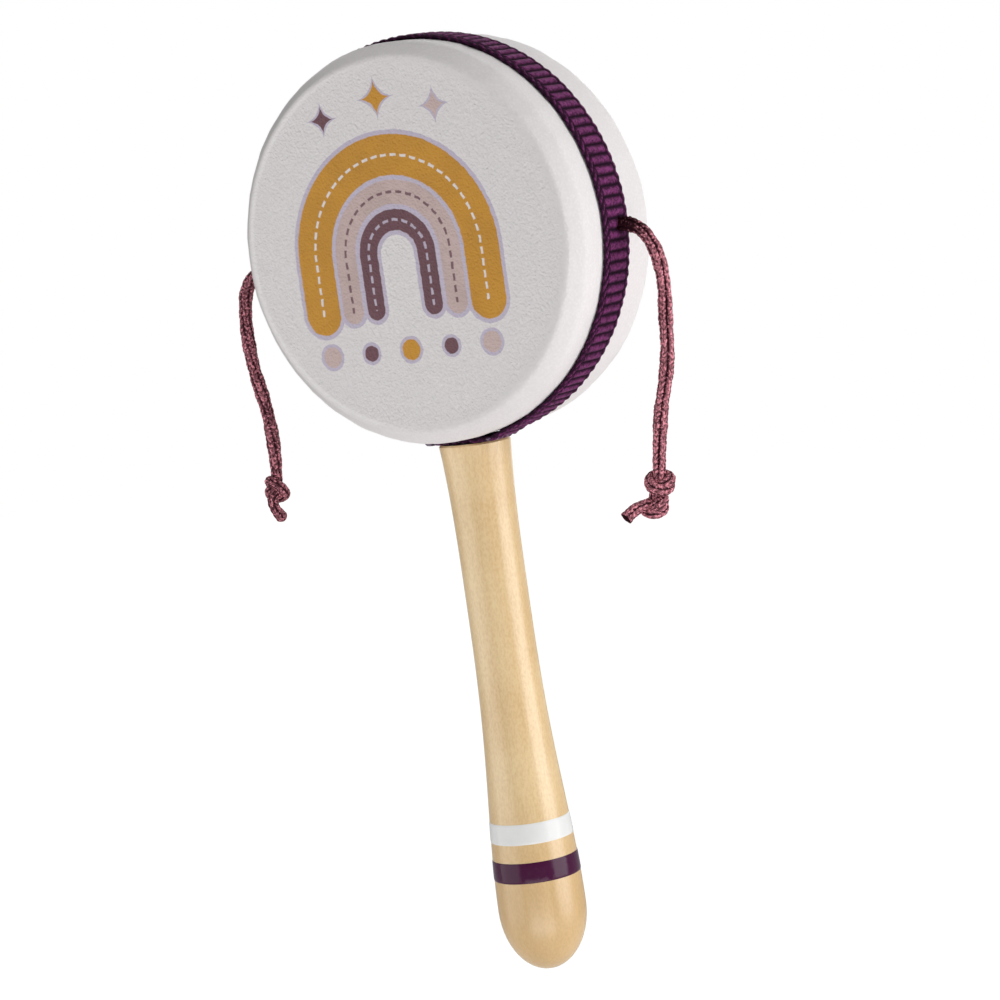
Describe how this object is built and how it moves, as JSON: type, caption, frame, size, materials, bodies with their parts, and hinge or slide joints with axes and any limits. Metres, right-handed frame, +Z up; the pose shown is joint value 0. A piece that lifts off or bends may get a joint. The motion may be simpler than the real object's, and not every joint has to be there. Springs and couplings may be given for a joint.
{
  "type": "pellet drum rattle",
  "caption": "Small two-headed hand drum on a turned wooden handle, with knotted cords at its sides that swing round and strike the heads when the handle is twisted.",
  "frame": {"origin": "Middle of the handle, on its axis.", "axes": "+Z up along the handle to the drum, -Y out of the printed front drumhead, +X to the right seen from the front. The cords leave the drum along +X and -X."},
  "size_m": [0.1087, 0.032, 0.2016],
  "materials": {
    "hoop_wood": "plain sanded wood, hidden under the skins",
    "skin": "white leatherette with a fine grain, matte",
    "ribbon": "purple ribbed woven ribbon",
    "handle_wood": "pale turned wood under satin lacquer",
    "white_paint": "white gloss paint",
    "purple_paint": "purple gloss paint",
    "cord": "plum braided satin cord"
  },
  "bodies": {
    "drum": {"drum_shell": "hoop_wood", "front_drumhead": "skin", "rear_drumhead": "skin", "ribbon_band": "ribbon", "handle": "handle_wood", "white_band": "white_paint", "purple_band": "purple_paint", "right_inner_knot": "cord", "left_inner_knot": "cord"},
    "right_upper_cord": {"right_cord_upper": "cord", "right_cord_bend": "cord"},
    "right_lower_cord": {"right_cord_lower": "cord", "right_end_knot": "cord"},
    "left_upper_cord": {"left_cord_upper": "cord", "left_cord_bend": "cord"},
    "left_lower_cord": {"left_cord_lower": "cord", "left_end_knot": "cord"}
  },
  "joints": [
    {"name": "right_swing", "type": "hinge", "parent": "drum", "child": "right_upper_cord", "pos_m": [0.0432, 0, 0.0993], "axis": [1, 0, 0], "range_deg": [-90, 40]},
    {"name": "right_bend", "type": "hinge", "parent": "right_upper_cord", "child": "right_lower_cord", "pos_m": [0.05, 0, 0.0773], "axis": [0, 1, 0], "range_deg": [-36, 80], "deforming": ["right_cord_bend"]},
    {"name": "left_swing", "type": "hinge", "parent": "drum", "child": "left_upper_cord", "pos_m": [-0.0432, 0, 0.0993], "axis": [-1, 0, 0], "range_deg": [-90, 40]},
    {"name": "left_bend", "type": "hinge", "parent": "left_upper_cord", "child": "left_lower_cord", "pos_m": [-0.0544, 0, 0.0773], "axis": [0, -1, 0], "range_deg": [-42, 94], "deforming": ["left_cord_bend"]}
  ],
  "couplings": [
    {"joint": "right_bend", "follows": "right_swing", "ratio": -0.88},
    {"joint": "left_bend", "follows": "left_swing", "ratio": -1.035}
  ]
}
